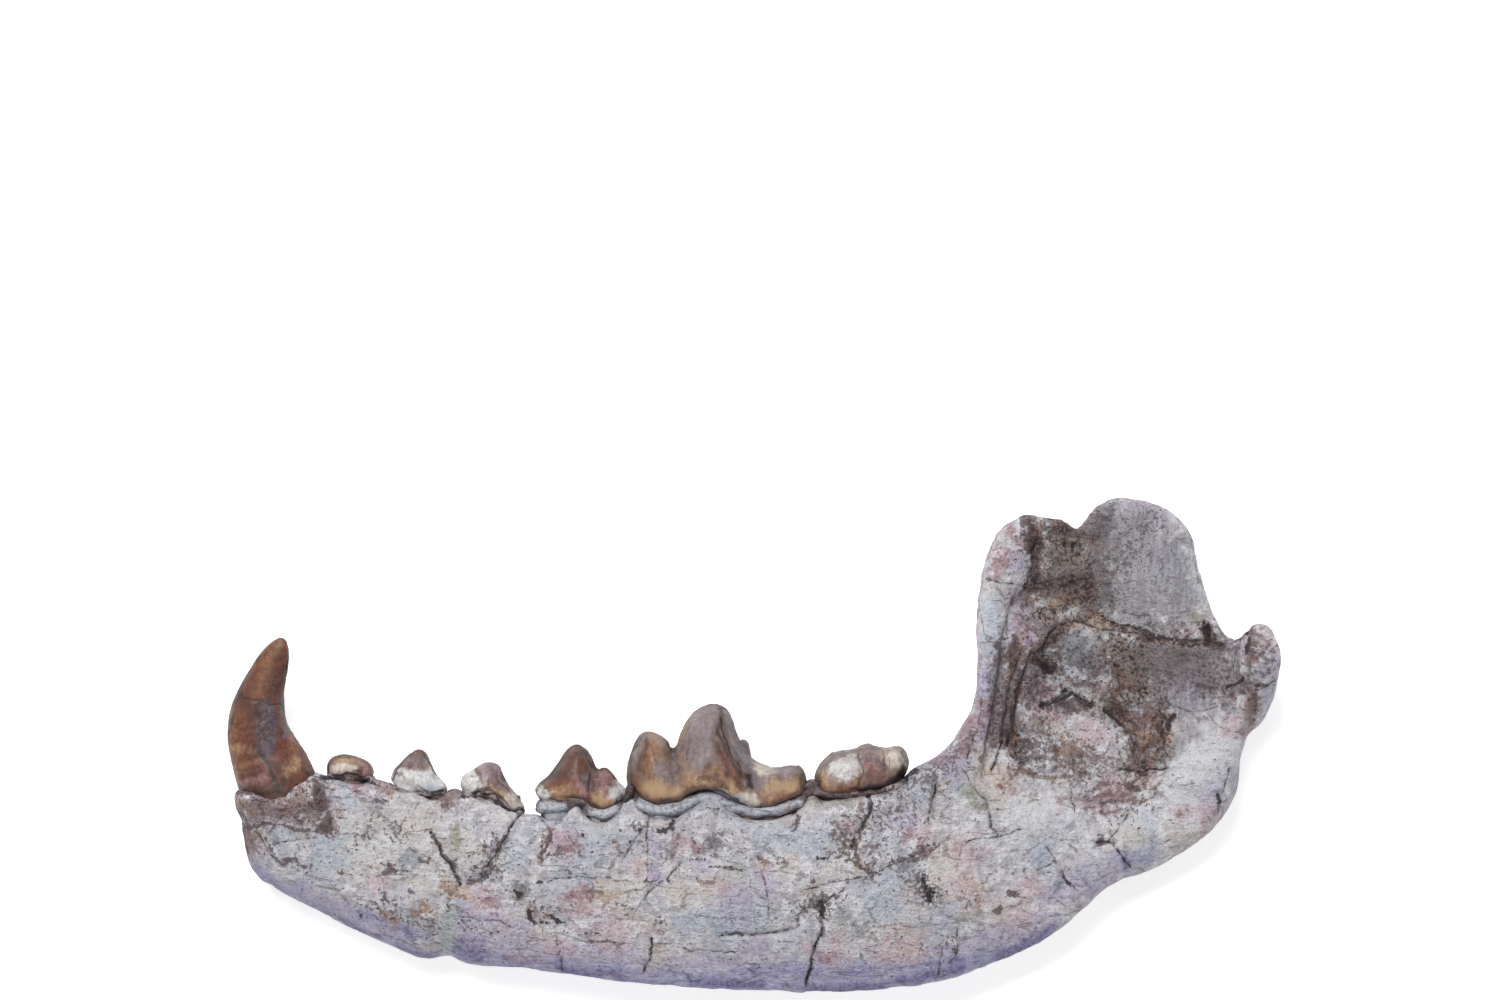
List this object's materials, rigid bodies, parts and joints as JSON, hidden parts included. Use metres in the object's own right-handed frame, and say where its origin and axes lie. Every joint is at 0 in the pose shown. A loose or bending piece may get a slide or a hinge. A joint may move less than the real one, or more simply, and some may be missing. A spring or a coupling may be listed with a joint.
{
  "type": "fossil lower jaw with teeth",
  "caption": "Left half of a fossil lower jaw of a large bear-like carnivore, with its canine, premolars, bladed molar and crushing molar, lying on its inner side.",
  "frame": {"origin": "middle of the jaw's box in length and height, on the surface that the jaw lies on", "axes": "+X from the canine back to the jaw joint, +Y from the lower edge towards the biting edges, +Z from the inner side, which lies down, to the outer side"},
  "size_m": [0.2328, 0.11, 0.0255],
  "materials": {
    "bone": "matt, cracked, grey-white with pink, cream and violet patches",
    "canine_enamel": "semi-gloss, orange-brown with dark cracks",
    "enamel": "semi-gloss, brown with cream and golden bands"
  },
  "bodies": {
    "root": {"jaw_bone": "bone", "canine": "canine_enamel", "premolar_1": "enamel", "premolar_2": "enamel", "premolar_3": "enamel", "premolar_4": "enamel", "carnassial": "enamel", "molar_2": "enamel"}
  },
  "joints": []
}
